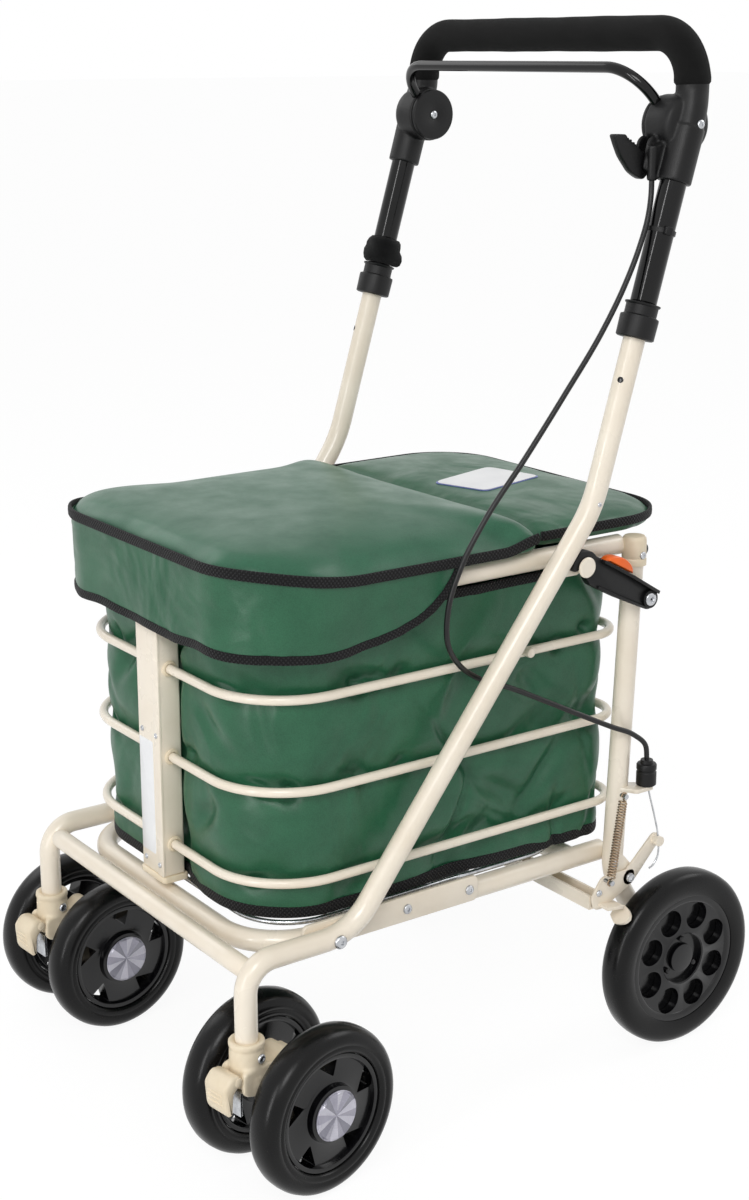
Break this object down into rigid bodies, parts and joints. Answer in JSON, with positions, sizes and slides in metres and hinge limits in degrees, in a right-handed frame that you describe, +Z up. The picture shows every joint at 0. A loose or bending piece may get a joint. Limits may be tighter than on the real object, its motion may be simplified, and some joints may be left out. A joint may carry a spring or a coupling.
{
  "type": "shopping rollator",
  "caption": "Folding walker on casters and rear wheels, with a bag in wire hoops under a padded seat lid, a height-adjustable foam grip, a brake bar and a parking lever",
  "frame": {"origin": "middle of the footprint, on the floor", "axes": "+Z up, +Y towards the user behind the handle, +X towards the user's left"},
  "size_m": [0.4994, 0.606, 0.9764],
  "materials": {
    "cream_paint": "smooth gloss coat",
    "cream_plastic": "satin moulded",
    "black_plastic": "satin moulded",
    "black_paint": "gloss coat",
    "black_foam": "matt closed-cell foam",
    "black_tyre": "smooth solid tyre",
    "green_leatherette": "grained, soft sheen",
    "orange_plastic": "gloss moulded",
    "steel": "bright plated",
    "brass_wire": "drawn spring wire"
  },
  "bodies": {
    "frame": {"base_frame": "cream_paint", "front_post": "cream_paint", "post_foot": "cream_plastic", "hoop_lower": "cream_paint", "hoop_middle": "cream_paint", "hoop_upper": "cream_paint", "wire_floor": "steel", "rear_leg_left": "cream_paint", "rear_leg_right": "cream_paint", "leg_cap_left": "cream_plastic", "leg_cap_right": "cream_plastic", "seat_frame": "cream_paint", "bag": "green_leatherette", "rear_flap": "green_leatherette", "cable_adjuster": "black_plastic", "handle_tube_left": "cream_paint", "handle_tube_right": "cream_paint", "front_crossbar": "cream_paint", "brake_cable_lower": "black_plastic"},
    "hook_left": {"lock_arm_left": "black_plastic"},
    "hook_right": {"lock_arm_right": "black_plastic"},
    "release_left": {"lock_release_left": "orange_plastic"},
    "release_right": {"lock_release_right": "orange_plastic"},
    "handle_slider": {"upper_tube_left": "black_paint", "upper_tube_right": "black_paint", "height_collar_left": "black_plastic", "height_collar_right": "black_plastic", "handle_bracket_left": "black_plastic", "handle_bracket_right": "black_plastic", "bracket_cap_left": "black_plastic", "bracket_cap_right": "black_plastic", "handlebar_tube": "steel", "foam_grip": "black_foam", "brake_cable_upper": "black_plastic"},
    "brake_handle": {"brake_bar": "black_paint"},
    "parking": {"parking_lever": "black_plastic"},
    "lid": {"seat_lid": "green_leatherette"},
    "caster_left": {"caster_housing_left": "cream_plastic", "caster_axle_left": "steel"},
    "caster_right": {"caster_housing_right": "cream_plastic", "caster_axle_right": "steel"},
    "pedal_left": {"caster_pedal_left": "cream_plastic"},
    "pedal_right": {"caster_pedal_right": "cream_plastic"},
    "wheel_left_outer": {"caster_hub_left_outer": "black_plastic", "caster_tyre_left_outer": "black_tyre"},
    "wheel_left_inner": {"caster_hub_left_inner": "black_plastic", "caster_tyre_left_inner": "black_tyre"},
    "wheel_right_outer": {"caster_hub_right_outer": "black_plastic", "caster_tyre_right_outer": "black_tyre"},
    "wheel_right_inner": {"caster_hub_right_inner": "black_plastic", "caster_tyre_right_inner": "black_tyre"},
    "rear_wheel_left": {"rear_hub_left": "black_plastic", "rear_tyre_left": "black_tyre"},
    "rear_wheel_right": {"rear_hub_right": "black_plastic", "rear_tyre_right": "black_tyre"},
    "rear_brake": {"brake_channel": "cream_paint", "brake_plate_left": "cream_paint", "brake_plate_right": "cream_paint", "brake_wire": "steel", "brake_spring": "brass_wire"}
  },
  "joints": [
    {"name": "hook_left_lift", "type": "hinge", "parent": "frame", "child": "hook_left", "pos_m": [0.199, 0.16595, 0.458], "axis": [-1, 0, 0], "range_deg": [0, 50]},
    {"name": "hook_right_lift", "type": "hinge", "parent": "frame", "child": "hook_right", "pos_m": [-0.193, 0.16595, 0.458], "axis": [-1, 0, 0], "range_deg": [0, 50]},
    {"name": "release_left_pull", "type": "hinge", "parent": "hook_left", "child": "release_left", "pos_m": [0.199, 0.11376, 0.50575], "axis": [1, 0, 0], "range_deg": [0, 12]},
    {"name": "release_right_pull", "type": "hinge", "parent": "hook_right", "child": "release_right", "pos_m": [-0.193, 0.11376, 0.50575], "axis": [1, 0, 0], "range_deg": [0, 12]},
    {"name": "handle_height", "type": "slide", "parent": "frame", "child": "handle_slider", "axis": [0, 0.289, 0.9573], "range_m": [-0.1, 0.025], "deforming": ["brake_cable_upper", "brake_cable_lower"]},
    {"name": "brake_squeeze", "type": "hinge", "parent": "handle_slider", "child": "brake_handle", "pos_m": [0.00305, 0.19345, 0.883], "axis": [-1, 0, 0], "range_deg": [0, 20]},
    {"name": "parking_set", "type": "hinge", "parent": "handle_slider", "child": "parking", "pos_m": [0.18305, 0.16195, 0.85], "axis": [1, 0, 0], "range_deg": [0, 35]},
    {"name": "lid_lift", "type": "hinge", "parent": "frame", "child": "lid", "pos_m": [0.00305, 0.05295, 0.529], "axis": [-1, 0, 0], "range_deg": [0, 55]},
    {"name": "caster_left_swivel", "type": "hinge", "parent": "frame", "child": "caster_left", "pos_m": [0.18705, -0.26505, 0.13], "axis": [0, 0, 1], "continuous": true},
    {"name": "caster_right_swivel", "type": "hinge", "parent": "frame", "child": "caster_right", "pos_m": [-0.18095, -0.26505, 0.13], "axis": [0, 0, 1], "continuous": true},
    {"name": "pedal_left_lift", "type": "hinge", "parent": "caster_left", "child": "pedal_left", "pos_m": [0.19006, -0.28597, 0.112], "axis": [-0.9898, -0.1426, 0], "range_deg": [0, 25]},
    {"name": "pedal_right_lift", "type": "hinge", "parent": "caster_right", "child": "pedal_right", "pos_m": [-0.17944, -0.28613, 0.112], "axis": [-0.9974, -0.0715, 0], "range_deg": [0, 25]},
    {"name": "wheel_left_outer_spin", "type": "hinge", "parent": "caster_left", "child": "wheel_left_outer", "pos_m": [0.18056, -0.22001, 0.075], "axis": [0.9898, 0.1426, 0], "continuous": true},
    {"name": "wheel_left_inner_spin", "type": "hinge", "parent": "caster_left", "child": "wheel_left_inner", "pos_m": [0.18056, -0.22001, 0.075], "axis": [0.9898, 0.1426, 0], "continuous": true},
    {"name": "wheel_right_outer_spin", "type": "hinge", "parent": "caster_right", "child": "wheel_right_outer", "pos_m": [-0.1842, -0.21966, 0.075], "axis": [0.9974, 0.0715, 0], "continuous": true},
    {"name": "wheel_right_inner_spin", "type": "hinge", "parent": "caster_right", "child": "wheel_right_inner", "pos_m": [-0.1842, -0.21966, 0.075], "axis": [0.9974, 0.0715, 0], "continuous": true},
    {"name": "rear_wheel_left_spin", "type": "hinge", "parent": "frame", "child": "rear_wheel_left", "pos_m": [0.20605, 0.21495, 0.088], "axis": [1, 0, 0], "continuous": true},
    {"name": "rear_wheel_right_spin", "type": "hinge", "parent": "frame", "child": "rear_wheel_right", "pos_m": [-0.19995, 0.21495, 0.088], "axis": [1, 0, 0], "continuous": true},
    {"name": "rear_brake_turn", "type": "hinge", "parent": "frame", "child": "rear_brake", "pos_m": [0.00305, 0.15895, 0.181], "axis": [1, 0, 0], "range_deg": [0, 3.6], "stiffness_Nm_per_rad": 2, "springref_deg": -11.46, "deforming": ["brake_spring", "brake_wire"]}
  ],
  "couplings": [
    {"joint": "rear_brake_turn", "follows": "brake_squeeze", "ratio": 0.18}
  ]
}
